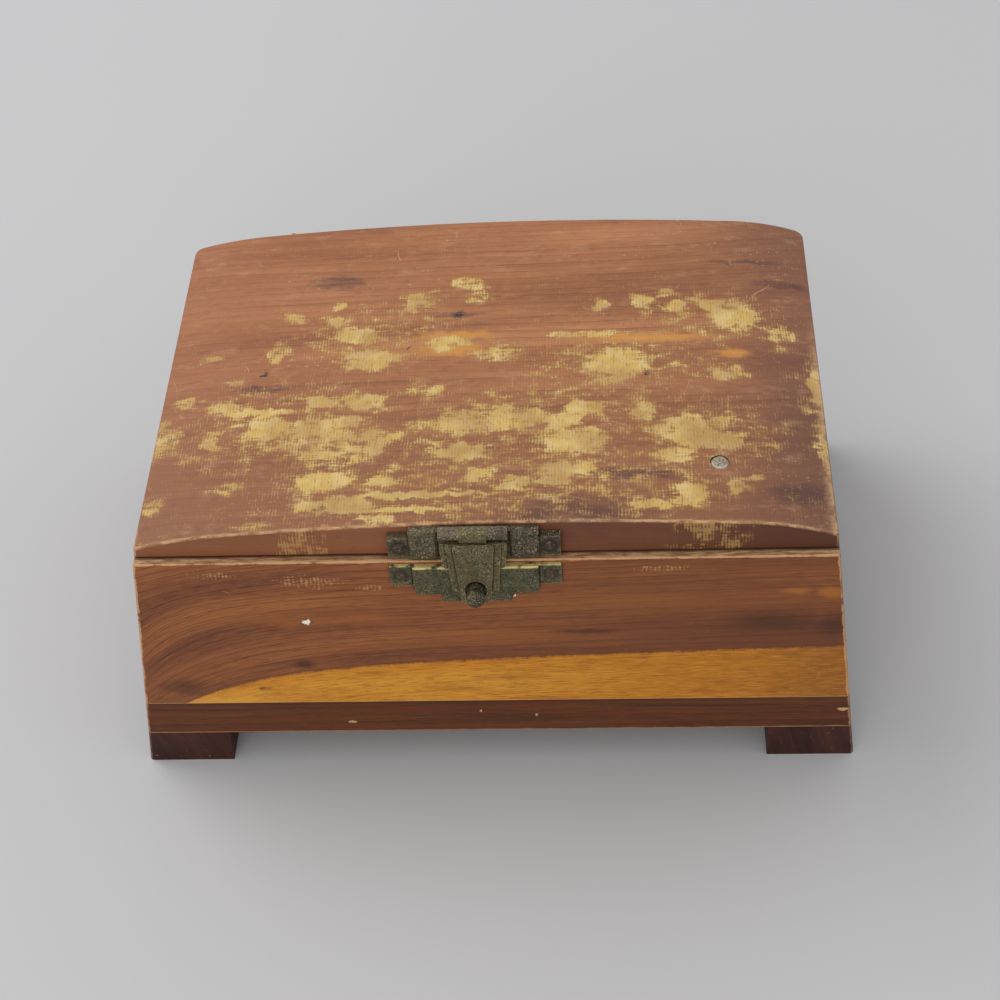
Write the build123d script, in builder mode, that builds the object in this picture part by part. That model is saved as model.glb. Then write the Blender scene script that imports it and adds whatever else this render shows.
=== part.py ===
from build123d import *
import math
import os

# A small cedar trinket box: four boards and a bottom on two runners, a hinged lid with an
# arched top, and a pressed brass hasp in front. Millimetres. +X is the box's right, +Y its
# back and +Z up. The origin is the middle of the whole outline, on the table.

# Case
rim_width = 136.7  # across the ends, at the rim
rim_height = 60.3
body_depth = 96.6
end_flare = 6.1  # degrees that each end leans out towards the table
front_thickness = 9.0  # front board and back board
end_thickness = 9.0
bottom_thickness = 9.5
foot_height = 9.1
foot_width = 17.2  # of a runner, where it meets the bottom board
corner_round = 0.8  # upright corners
edge_round = 0.5  # worn long edges

# Lid
lid_setback = 2.0  # of its front edge, behind the front board
lid_left_height = 2.4  # thickness of the lid at its left end
lid_left_shoulder_inset = 17.0
lid_left_shoulder_height = 5.7
lid_crown_offset = 17.0  # right of the middle
lid_crown_height = 8.4
lid_right_shoulder_inset = 16.0
lid_right_shoulder_height = 7.1
lid_right_height = 3.4
lid_edge_round = 0.7
lid_back_round = 2.0  # its upright corners at the back, worn rounder than the front ones

# Nails, brads and the tack, all with square shanks
nail_fit = 0.05  # round a shank or a sunk head
nail_facets = 16  # round a head
nail_head_taper = 40.0  # degrees
nail_point = 0.3  # bevel at a shank's end

# Brads that hold the bottom board and the runners
brad_width = 1.2
brad_head_length = 2.2
brad_head_height = 0.6
brad_length = 17.0  # under the head
long_wall_brad_spacing = 52.0
end_wall_brad_spacing = 40.0
runner_brad_length = 12.0
runner_brad_spacing = 74.0
runner_brad_sink = 4.0  # head's depth in the runner

# Tack in the lid
tack_inset = 22.3  # from the lid's right end
tack_setback = 16.5  # behind the lid's front edge
tack_head_radius = 1.85
tack_head_height = 0.7
tack_seat_depth = 0.35
tack_shank_width = 1.0
tack_length = 5.0

# Hasp, measured from its own centre line and from the rim
latch_x = -1.6
sheet = 0.6  # brass thickness
plate_width = 33.2
nail_inset = 2.1  # nail centre in from a tab's end

upper_tab_bottom = 1.0
upper_tab_top = 5.9
upper_tab_proud = 1.7
upper_pad_width = 24.9
upper_pad_bottom = 0.6
upper_pad_top = 7.5
upper_pad_proud = 2.2
flap_bay_width = 14.2  # low middle of the upper plate, behind the flap

pin_reach = 0.2  # pin's axis in front of the pads
pin_radius = 0.65
pin_fit = 0.05
knuckle_radius = 1.35
hinge_line_height = 7.8  # pin above the rim
plate_knuckle_length = 3.95
flap_knuckle_length = 5.1
knuckle_gap = 0.1
window_clearance = 0.3  # behind the flap's knuckle

flap_lean = 3.0  # degrees, the flap's foot stands out over the lower plate
flap_taper = 4.5  # degrees, each side
flap_top = 1.5  # shoulders below the pin
wing_width = 13.0
wing_foot = 7.8
strip_width = 10.8
strip_foot = 13.7
panel_width = 8.0
panel_foot = 16.6
strip_step = 0.2
panel_step = 0.25
flap_corner = 0.6
slot_width = 4.2
slot_top = 10.9
slot_foot = 15.9

lower_top = -0.7
lower_tab_foot = -6.0
lower_tab_proud = 0.6
lower_mid_width = 24.4
lower_mid_foot = -8.2
lower_centre_width = 13.4
lower_centre_foot = -10.3
lower_centre_corner = 1.1
lower_pan_proud = 1.3
plate_bevel = 0.25

stud_height = -5.3  # stud's axis, from the rim
stud_tail_radius = 1.0
stud_tail_length = 3.5
stud_collar_radius = 1.9
stud_collar_height = 0.5
stud_neck_radius = 1.35
stud_head_radius = 1.85
stud_head_middle = 5.0  # head's centre in front of the front board

latch_nail_head_radius = 1.15
latch_nail_head_height = 0.6
latch_nail_width = 1.0
latch_nail_length = 7.0

# Butt hinges on the outside of the back
hinge_spacing = 76.0
hinge_width = 16.0
hinge_leaf_height = 5.6  # of each leaf, from the seam
hinge_sheet = 0.7
hinge_pin_radius = 0.7
hinge_pin_fit = 0.05
hinge_knuckle_radius = 1.45
hinge_knuckle_stand = 0.15  # between the knuckles and the boards
hinge_lid_knuckle_length = 5.6
hinge_knuckle_gap = 0.15
hinge_leaf_clearance = 0.25  # leaf edge from the other leaf's knuckle
hinge_nail_spacing = 9.6
hinge_nail_drop = 3.7  # nail from the seam
hinge_nail_head_radius = 1.0
hinge_nail_head_height = 0.45
hinge_nail_width = 0.9
hinge_nail_length = 6.0

# Places worked out from the sizes
latch_reach = stud_head_middle + stud_head_radius
hinge_reach = hinge_knuckle_stand + 2 * hinge_knuckle_radius
front_y = latch_reach - (latch_reach + body_depth + hinge_reach) / 2
back_y = front_y + body_depth
lid_front_y = front_y + lid_setback
lid_depth = body_depth - lid_setback
bottom_top = foot_height + bottom_thickness
slope = math.tan(math.radians(end_flare))
end_run = end_thickness / math.cos(math.radians(end_flare))  # end board's thickness, level

pin_y = lid_front_y - upper_pad_proud - pin_reach
bay_front_y = pin_y + knuckle_radius - sheet  # the sheet runs into the knuckles behind the pin
plate_knuckle_centre = flap_knuckle_length / 2 + knuckle_gap + plate_knuckle_length / 2
hinge_line_length = flap_knuckle_length + 2 * (knuckle_gap + plate_knuckle_length)
stud_foot = (latch_x, front_y, rim_height + stud_height)
head_joint = math.sqrt(stud_head_radius**2 - stud_neck_radius**2)
hinge_pin_y = back_y + hinge_knuckle_stand + hinge_knuckle_radius

os.makedirs("parts", exist_ok=True)


def half_width(height):
    """Half the width of the case at a height over the table."""
    return rim_width / 2 + (rim_height - height) * slope


def front_plane(y):
    """An upright plane that faces the front: its x runs right and its y runs up."""
    return Plane(origin=(0, y, 0), x_dir=(1, 0, 0), z_dir=(0, -1, 0))


def latch_plane(y):
    """The same, with its origin on the hasp's centre line at the rim."""
    return Plane(origin=(latch_x, y, rim_height), x_dir=(1, 0, 0), z_dir=(0, -1, 0))


def save(piece, name):
    """Label a finished piece and write it."""
    piece.part.label = name
    export_step(piece.part, f"parts/{name}.step")


def case_outline(low, high):
    """Corners of a board across the whole case, with flared ends, between two heights."""
    return [
        (-half_width(low), low),
        (half_width(low), low),
        (half_width(high), high),
        (-half_width(high), high),
    ]


def mostly_up(direction):
    """Whether a direction runs more up or down than level."""
    return abs(direction.Z) > math.hypot(direction.X, direction.Y)


def upright_corners(piece, y):
    """The edges of a piece that run up its corners, on its face at a given depth."""
    upright = piece.edges().filter_by(lambda e: mostly_up(e.tangent_at(0)))
    return upright.filter_by(lambda e: abs(e.center().Y - y) < corner_round)


def nail(head_radius, head_height, width, length):
    """A nail with a round head. The head's underside is at 0 and the shank runs down."""
    with BuildPart() as body:
        with BuildSketch():
            RegularPolygon(head_radius, nail_facets)
        extrude(amount=head_height, taper=nail_head_taper)
        Box(width, width, length, align=(Align.CENTER, Align.CENTER, Align.MAX))
        chamfer(body.faces().sort_by(Axis.Z)[0].edges(), length=nail_point)
    return body.part


def brad(length):
    """A brad with a short flat head, placed like a nail."""
    with BuildPart() as body:
        with BuildSketch():
            Rectangle(brad_head_length, brad_width)
        extrude(amount=brad_head_height)
        Box(brad_width, brad_width, length, align=(Align.CENTER, Align.CENTER, Align.MAX))
        chamfer(body.faces().sort_by(Axis.Z)[0].edges(), length=nail_point)
    return body.part


def facing(places, direction):
    """Locations at the places, with their z axis along a direction."""
    return [Location(Plane(origin=place, z_dir=direction)) for place in places]


def upright_rectangle(width, low, high, mode=Mode.ADD):
    """A rectangle about the hasp's centre line, between two heights over the rim."""
    with Locations((0, (low + high) / 2)):
        Rectangle(width, high - low, mode=mode)


def along_pin(*offsets):
    """Places on the hasp's pin, on both sides of its middle, with their z axis along the pin."""
    return [
        Location((latch_x + side * dx, pin_y, rim_height + hinge_line_height), (0, 90, 0))
        for dx in offsets
        for side in ((-1, 1) if dx else (1,))
    ]


def flap_plane(height):
    """The plane of the flap at a height over the pin's axis: its y runs up along the flap."""
    lean = math.radians(flap_lean)
    normal = Vector(0, -math.cos(lean), math.sin(lean))
    origin = Vector(latch_x, pin_y, rim_height + hinge_line_height) + normal * height
    return Plane(origin=origin, x_dir=(1, 0, 0), z_dir=normal)


def tapered(width, foot):
    """Corners of a tier of the flap, from its shoulders down to its foot."""
    top = width / 2
    low = top - (foot - flap_top) * math.tan(math.radians(flap_taper))
    return [(-top, -flap_top), (-low, -foot), (low, -foot), (top, -flap_top)]


# Places of the fasteners
bottom_brad_places = [
    (x, y, foot_height + brad_head_height)
    for y in (front_y + front_thickness / 2, back_y - front_thickness / 2)
    for x in (-long_wall_brad_spacing, 0, long_wall_brad_spacing)
] + [
    (x, (front_y + back_y) / 2 + dy, foot_height + brad_head_height)
    for x in (end_run / 2 - half_width(bottom_top), half_width(bottom_top) - end_run / 2)
    for dy in (-end_wall_brad_spacing / 2, end_wall_brad_spacing / 2)
]
runner_x = half_width(foot_height) - foot_width / 2
runner_brad_places = {
    side: [
        (sign * runner_x, (front_y + back_y) / 2 + dy, runner_brad_sink)
        for dy in (-runner_brad_spacing / 2, runner_brad_spacing / 2)
    ]
    for side, sign in (("left", -1), ("right", 1))
}
nail_offset = plate_width / 2 - nail_inset
upper_nail_places = [
    (latch_x + dx, lid_front_y - upper_tab_proud, rim_height + (upper_tab_bottom + upper_tab_top) / 2)
    for dx in (-nail_offset, nail_offset)
]
lower_nail_places = [
    (latch_x + dx, front_y - lower_tab_proud, rim_height + (lower_top + lower_tab_foot) / 2)
    for dx in (-nail_offset, nail_offset)
]


def hinge_nail_places(hinge_x, up):
    """Places of one leaf's two nails: up is 1 on the lid and -1 on the back board."""
    return [
        (hinge_x + dx, back_y + hinge_sheet, rim_height + up * hinge_nail_drop)
        for dx in (-hinge_nail_spacing / 2, hinge_nail_spacing / 2)
    ]


def cut_nail_holes(places, direction, width, length):
    """Cut the square holes of the nails whose heads face a direction."""
    with Locations(*facing(places, direction)):
        Box(width + 2 * nail_fit, width + 2 * nail_fit, 2 * length, mode=Mode.SUBTRACT)


def sink_brad_heads(places, depth):
    """Cut the pockets above the brads' heads, which face down, to a depth over their undersides."""
    with Locations(*facing(places, downward)):
        Box(
            brad_head_length + 2 * nail_fit,
            brad_width + 2 * nail_fit,
            depth,
            align=(Align.CENTER, Align.CENTER, Align.MIN),
            mode=Mode.SUBTRACT,
        )


def cut_stud_hole():
    """Cut the round hole of the stud's tail."""
    with Locations(*facing([stud_foot], to_front)):
        Cylinder(
            radius=stud_tail_radius + nail_fit,
            height=2 * stud_tail_length,
            mode=Mode.SUBTRACT,
        )


hinge_places = {"left": -hinge_spacing / 2, "right": hinge_spacing / 2}
to_front = (0, -1, 0)
to_back = (0, 1, 0)
downward = (0, 0, -1)
upward = (0, 0, 1)

# Front board and back board: full width, over the ends of the end boards
with BuildPart() as front_board:
    with BuildSketch(front_plane(front_y)):
        Polygon(*case_outline(bottom_top, rim_height), align=None)
    extrude(amount=-front_thickness)
    fillet(upright_corners(front_board, front_y), radius=corner_round)
    front_faces = front_board.faces().sort_by(Axis.Y)
    fillet(front_faces[0].edges().sort_by(Axis.Z)[-1], radius=edge_round)
    cut_nail_holes(bottom_brad_places, downward, brad_width, brad_length)
    cut_nail_holes(lower_nail_places, to_front, latch_nail_width, latch_nail_length)
    cut_stud_hole()
save(front_board, "front_board")

with BuildPart() as back_board:
    with BuildSketch(front_plane(back_y - front_thickness)):
        Polygon(*case_outline(bottom_top, rim_height), align=None)
    extrude(amount=-front_thickness)
    fillet(upright_corners(back_board, back_y), radius=corner_round)
    cut_nail_holes(bottom_brad_places, downward, brad_width, brad_length)
    for hinge_x in hinge_places.values():
        cut_nail_holes(
            hinge_nail_places(hinge_x, -1),
            to_back,
            hinge_nail_width,
            hinge_nail_length,
        )
save(back_board, "back_board")

# End boards: leaning out, held between the front board and the back board
for side, sign in (("left", -1), ("right", 1)):
    with BuildPart() as end_board:
        with BuildSketch(front_plane(front_y + front_thickness)):
            with BuildLine():
                Polyline(
                    (sign * half_width(bottom_top), bottom_top),
                    (sign * half_width(rim_height), rim_height),
                    (sign * (half_width(rim_height) - end_run), rim_height),
                    (sign * (half_width(bottom_top) - end_run), bottom_top),
                    close=True,
                )
            make_face()
        extrude(amount=-(body_depth - 2 * front_thickness))
        cut_nail_holes(bottom_brad_places, downward, brad_width, brad_length)
    save(end_board, f"{side}_end_board")

# Bottom board: full size, its edges show below the walls
with BuildPart() as bottom_board:
    with BuildSketch(front_plane(front_y)):
        Polygon(*case_outline(foot_height, bottom_top), align=None)
    extrude(amount=-body_depth)
    for y in (front_y, back_y):
        fillet(upright_corners(bottom_board, y), radius=corner_round)
    cut_nail_holes(bottom_brad_places, downward, brad_width, brad_length)
    sink_brad_heads(bottom_brad_places, brad_head_height)
    for places in runner_brad_places.values():
        cut_nail_holes(places, downward, brad_width, runner_brad_length)
save(bottom_board, "bottom_board")

# Runners: a cleat under each end, front to back
for side, sign in (("left", -1), ("right", 1)):
    with BuildPart() as runner:
        with BuildSketch(front_plane(front_y)):
            with BuildLine():
                Polyline(
                    (sign * half_width(0), 0),
                    (sign * half_width(foot_height), foot_height),
                    (sign * (half_width(foot_height) - foot_width), foot_height),
                    (sign * (half_width(foot_height) - foot_width), 0),
                    close=True,
                )
            make_face()
        extrude(amount=-body_depth)
        for y in (front_y, back_y):
            outer_corner = upright_corners(runner, y).sort_by(lambda e: abs(e.center().X))[-1]
            fillet(outer_corner, radius=corner_round)
        cut_nail_holes(runner_brad_places[side], downward, brad_width, runner_brad_length)
        sink_brad_heads(runner_brad_places[side], runner_brad_sink)
    save(runner, f"{side}_runner")

# Lid: one board with an arched top, its crown right of the middle
def on_lid_outline(edge):
    """Whether an edge of the lid's top lies on its rim, and not between two arcs of the arch."""
    middle = edge.center()
    at_end = abs(middle.X) > rim_width / 2 - lid_back_round
    return at_end or middle.Y < lid_front_y + corner_round or middle.Y > back_y - lid_back_round


with BuildPart() as lid_board:
    with BuildSketch(front_plane(lid_front_y)):
        with BuildLine():
            left_end = (-half_width(rim_height + lid_left_height), rim_height + lid_left_height)
            right_end = (half_width(rim_height + lid_right_height), rim_height + lid_right_height)
            crown = ThreePointArc(
                (lid_left_shoulder_inset - rim_width / 2, rim_height + lid_left_shoulder_height),
                (lid_crown_offset, rim_height + lid_crown_height),
                (rim_width / 2 - lid_right_shoulder_inset, rim_height + lid_right_shoulder_height),
            )
            TangentArc(crown @ 0, left_end, tangent=-(crown % 0))
            TangentArc(crown @ 1, right_end, tangent=crown % 1)
            Polyline(
                right_end,
                (half_width(rim_height), rim_height),
                (-half_width(rim_height), rim_height),
                left_end,
            )
        make_face()
    extrude(amount=-lid_depth)
    for y, radius in ((lid_front_y, corner_round), (back_y, lid_back_round)):
        fillet(upright_corners(lid_board, y), radius=radius)
    top_faces = lid_board.faces().filter_by(lambda f: mostly_up(f.normal_at()) and f.center().Z > rim_height)
    fillet(top_faces.edges().filter_by(on_lid_outline), radius=lid_edge_round)
    cut_nail_holes(upper_nail_places, to_front, latch_nail_width, latch_nail_length)
    for hinge_x in hinge_places.values():
        cut_nail_holes(
            hinge_nail_places(hinge_x, 1),
            to_back,
            hinge_nail_width,
            hinge_nail_length,
        )
    # The tack's seat follows the arch: the top at its place is read from the board itself
    tack_x = rim_width / 2 - tack_inset
    tack_y = lid_front_y + tack_setback
    plumb = Axis((tack_x, tack_y, 0), (0, 0, 1))
    tack_top = max(point.Z for point, normal in lid_board.part.find_intersection_points(plumb))
    tack_seat = (tack_x, tack_y, tack_top - tack_seat_depth)
    with Locations(tack_seat):
        Cylinder(
            radius=tack_head_radius + nail_fit,
            height=tack_head_height,
            align=(Align.CENTER, Align.CENTER, Align.MIN),
            mode=Mode.SUBTRACT,
        )
    cut_nail_holes([tack_seat], upward, tack_shank_width, tack_length)
save(lid_board, "lid_board")

# Brads and the tack
bottom_brad = brad(brad_length)
with BuildPart() as bottom_brads:
    with Locations(*facing(bottom_brad_places, downward)):
        add(bottom_brad)
save(bottom_brads, "bottom_brads")

runner_brad = brad(runner_brad_length)
for side, places in runner_brad_places.items():
    with BuildPart() as runner_brads:
        with Locations(*facing(places, downward)):
            add(runner_brad)
    save(runner_brads, f"{side}_runner_brads")

tack = nail(tack_head_radius, tack_head_height, tack_shank_width, tack_length)
with BuildPart() as lid_tack:
    with Locations(tack_seat):
        add(tack)
save(lid_tack, "lid_tack")

# Hasp, upper plate: pressed from sheet and open behind, two nail tabs and two pads beside a
# low bay for the flap, with its two knuckles rolled from the bay's top edge
with BuildPart() as latch_upper_plate:
    with BuildSketch(latch_plane(lid_front_y)):
        upright_rectangle(plate_width, upper_tab_bottom, upper_tab_top)
    extrude(amount=upper_tab_proud)
    with BuildSketch(latch_plane(lid_front_y)):
        upright_rectangle(upper_pad_width, upper_pad_bottom, upper_pad_top)
    extrude(amount=upper_pad_proud)
    with BuildSketch(latch_plane(bay_front_y)) as flap_bay:
        upright_rectangle(flap_bay_width, upper_pad_bottom, hinge_line_height)
    extrude(amount=upper_pad_proud, mode=Mode.SUBTRACT)
    extrude(flap_bay.sketch, amount=-sheet)
    front_edges = latch_upper_plate.edges().filter_by(
        lambda e: e.center().Y < bay_front_y - plate_bevel
    )
    chamfer(front_edges, length=plate_bevel)
    for width, low, high, proud in (
        (plate_width, upper_tab_bottom, upper_tab_top, upper_tab_proud),
        (upper_pad_width, upper_pad_bottom, upper_pad_top, upper_pad_proud),
    ):
        with BuildSketch(latch_plane(lid_front_y)):
            upright_rectangle(width - 2 * sheet, low + sheet, high - sheet)
            upright_rectangle(flap_bay_width, low, high, mode=Mode.SUBTRACT)
        extrude(amount=proud - sheet, mode=Mode.SUBTRACT)
    with BuildSketch(latch_plane(lid_front_y)):
        upright_rectangle(flap_bay_width, upper_pad_bottom + sheet, upper_pad_top - sheet)
    extrude(amount=lid_front_y - bay_front_y - sheet, mode=Mode.SUBTRACT)
    with Locations(*along_pin(plate_knuckle_centre)):
        Cylinder(radius=knuckle_radius, height=plate_knuckle_length)
    with Locations(along_pin(0)[0]):
        Cylinder(
            radius=knuckle_radius + window_clearance,
            height=flap_knuckle_length + 2 * knuckle_gap,
            mode=Mode.SUBTRACT,
        )
        Cylinder(radius=pin_radius + pin_fit, height=plate_width, mode=Mode.SUBTRACT)
    cut_nail_holes(upper_nail_places, to_front, latch_nail_width, latch_nail_length)
save(latch_upper_plate, "latch_upper_plate")

# Hasp, flap: wings, longer strips and a still longer middle panel, each tier prouder than
# the last, on a neck that is rolled round the pin
with BuildPart() as latch_flap:
    for width, foot, rise in (
        (wing_width, wing_foot, 0),
        (strip_width, strip_foot, strip_step),
        (panel_width, panel_foot, strip_step + panel_step),
    ):
        with BuildSketch(flap_plane(knuckle_radius - sheet)):
            with BuildLine():
                FilletPolyline(*tapered(width, foot), radius=flap_corner, close=True)
            make_face()
        extrude(amount=sheet + rise)
    with BuildSketch(flap_plane(knuckle_radius - sheet)):
        with Locations((0, -flap_top)):
            Rectangle(flap_knuckle_length, 2 * flap_top)
    extrude(amount=sheet)
    with Locations(along_pin(0)[0]):
        Cylinder(radius=knuckle_radius, height=flap_knuckle_length)
        Cylinder(radius=pin_radius + pin_fit, height=plate_width, mode=Mode.SUBTRACT)
    with BuildSketch(flap_plane(0)):
        with Locations((0, -(slot_top + slot_foot) / 2)):
            SlotOverall(slot_foot - slot_top, slot_width, rotation=90)
    extrude(amount=2 * knuckle_radius, mode=Mode.SUBTRACT)
save(latch_flap, "latch_flap")

with BuildPart() as latch_hinge_pin:
    with Locations(along_pin(0)[0]):
        Cylinder(radius=pin_radius, height=hinge_line_length)
save(latch_hinge_pin, "latch_hinge_pin")

# Hasp, lower plate: the same pressed form, stepped down to a rounded middle
with BuildPart() as latch_lower_plate:
    with BuildSketch(latch_plane(front_y)):
        upright_rectangle(plate_width, lower_tab_foot, lower_top)
    extrude(amount=lower_tab_proud)
    with BuildSketch(latch_plane(front_y)) as lower_pan:
        upright_rectangle(lower_mid_width, lower_mid_foot, lower_top)
        upright_rectangle(lower_centre_width, lower_centre_foot, lower_top)
        low_corners = lower_pan.vertices().sort_by(Axis.Z)[:2]
        fillet(low_corners, radius=lower_centre_corner)
    extrude(amount=lower_pan_proud)
    chamfer(latch_lower_plate.faces().sort_by(Axis.Y)[0].edges(), length=plate_bevel)
    with BuildSketch(latch_plane(front_y)):
        upright_rectangle(lower_mid_width - 2 * sheet, lower_mid_foot + sheet, lower_top - sheet)
        upright_rectangle(
            lower_centre_width - 2 * lower_centre_corner, lower_centre_foot + sheet, lower_top - sheet
        )
    extrude(amount=lower_pan_proud - sheet, mode=Mode.SUBTRACT)
    cut_nail_holes(lower_nail_places, to_front, latch_nail_width, latch_nail_length)
    cut_stud_hole()
save(latch_lower_plate, "latch_lower_plate")

# Hasp, stud: riveted through the lower plate, with a collar, a neck and a round head
with BuildPart() as latch_stud:
    with BuildSketch(Plane(origin=stud_foot, x_dir=(1, 0, 0), z_dir=(0, 0, 1))):
        with BuildLine():
            Polyline(
                (0, -stud_head_middle - stud_head_radius),
                (0, stud_tail_length),
                (stud_tail_radius, stud_tail_length),
                (stud_tail_radius, -lower_pan_proud),
                (stud_collar_radius, -lower_pan_proud),
                (stud_collar_radius, -lower_pan_proud - stud_collar_height),
                (stud_neck_radius, -lower_pan_proud - stud_collar_height),
                (stud_neck_radius, -stud_head_middle + head_joint),
            )
            ThreePointArc(
                (stud_neck_radius, -stud_head_middle + head_joint),
                (stud_head_radius, -stud_head_middle),
                (0, -stud_head_middle - stud_head_radius),
            )
        make_face()
    revolve(axis=Axis(stud_foot, to_front))
save(latch_stud, "latch_stud")

latch_nail = nail(
    latch_nail_head_radius, latch_nail_head_height, latch_nail_width, latch_nail_length
)
for name, places in (("upper", upper_nail_places), ("lower", lower_nail_places)):
    with BuildPart() as latch_nails:
        with Locations(*facing(places, to_front)):
            add(latch_nail)
    save(latch_nails, f"latch_{name}_nails")

# Butt hinges: each leaf lies on the back, with its knuckles rolled round the pin
hinge_nail = nail(
    hinge_nail_head_radius, hinge_nail_head_height, hinge_nail_width, hinge_nail_length
)
body_knuckle_length = (hinge_width - hinge_lid_knuckle_length) / 2 - hinge_knuckle_gap
body_knuckle_centre = (hinge_width - body_knuckle_length) / 2
body_knuckles = (-body_knuckle_centre, body_knuckle_centre)
leaf_edge = hinge_knuckle_radius + hinge_leaf_clearance  # from the seam
for side, hinge_x in hinge_places.items():
    for leaf, up, knuckle_centres, knuckle_length in (
        ("body", -1, body_knuckles, body_knuckle_length),
        ("lid", 1, (0,), hinge_lid_knuckle_length),
    ):
        with BuildPart() as hinge_leaf:
            with BuildSketch(front_plane(back_y)):
                with Locations((hinge_x, rim_height + up * (leaf_edge + hinge_leaf_height) / 2)):
                    Rectangle(hinge_width, hinge_leaf_height - leaf_edge)
                for x in knuckle_centres:
                    with Locations((hinge_x + x, rim_height + up * hinge_leaf_height / 2)):
                        Rectangle(knuckle_length, hinge_leaf_height)
            extrude(amount=-hinge_sheet)
            for x in knuckle_centres:
                with Locations(Location((hinge_x + x, hinge_pin_y, rim_height), (0, 90, 0))):
                    Cylinder(radius=hinge_knuckle_radius, height=knuckle_length)
                    Cylinder(
                        radius=hinge_pin_radius + hinge_pin_fit,
                        height=knuckle_length,
                        mode=Mode.SUBTRACT,
                    )
            cut_nail_holes(
                hinge_nail_places(hinge_x, up),
                to_back,
                hinge_nail_width,
                hinge_nail_length,
            )
        save(hinge_leaf, f"{side}_hinge_{leaf}_leaf")
        with BuildPart() as hinge_nails:
            with Locations(*facing(hinge_nail_places(hinge_x, up), to_back)):
                add(hinge_nail)
        save(hinge_nails, f"{side}_hinge_{leaf}_nails")
    with BuildPart() as hinge_pin:
        with Locations(Location((hinge_x, hinge_pin_y, rim_height), (0, 90, 0))):
            Cylinder(radius=hinge_pin_radius, height=hinge_width)
    save(hinge_pin, f"{side}_hinge_pin")
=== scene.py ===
import math

import bpy
from mathutils import Matrix, Vector


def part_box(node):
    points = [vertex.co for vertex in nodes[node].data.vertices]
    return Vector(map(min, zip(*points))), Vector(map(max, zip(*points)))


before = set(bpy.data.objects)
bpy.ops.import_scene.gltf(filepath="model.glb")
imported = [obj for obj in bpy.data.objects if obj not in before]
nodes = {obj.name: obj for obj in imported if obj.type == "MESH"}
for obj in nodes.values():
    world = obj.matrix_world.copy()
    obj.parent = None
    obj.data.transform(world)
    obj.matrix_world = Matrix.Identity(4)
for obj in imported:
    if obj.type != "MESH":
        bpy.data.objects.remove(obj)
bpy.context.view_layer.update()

MM = 0.001

# Planes of the box in millimetres, read from the frame
front_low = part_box("front_board")[0] / MM
lid_low, lid_high = (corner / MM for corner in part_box("lid_board"))
bottom_low, bottom_high = (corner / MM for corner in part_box("bottom_board"))
stud_low, stud_high = (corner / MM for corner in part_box("latch_stud"))
lower_plate_top = (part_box("latch_lower_plate")[1] / MM).z
upper_plate_top = (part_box("latch_upper_plate")[1] / MM).z
hinge_leaf_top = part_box("left_hinge_lid_leaf")[1].z / MM
seam = lid_low.z
latch_x = (stud_low.x + stud_high.x) / 2
rim_lip = lid_low.y - front_low.y  # strip of the front board's top edge that the lid leaves bare

# Camera of the photograph, placed from the front board's face
camera_place = Vector((25.5, front_low.y - 279.4, 351.47)) * MM
camera_pitch = math.radians(44.455)  # below the horizon
camera_yaw = math.radians(-4.388)  # to the right
camera_roll = math.radians(-3.988)
camera_lens = 75.6  # millimetres
camera_sensor = 36  # millimetres


def colour(red, green, blue):
    """A colour as a shader takes it, from the 0 to 255 steps that a screen shows."""
    steps = [value / 255 for value in (red, green, blue)]
    linear = [s / 12.92 if s <= 0.04045 else ((s + 0.055) / 1.055) ** 2.4 for s in steps]
    return (*linear, 1.0)


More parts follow.
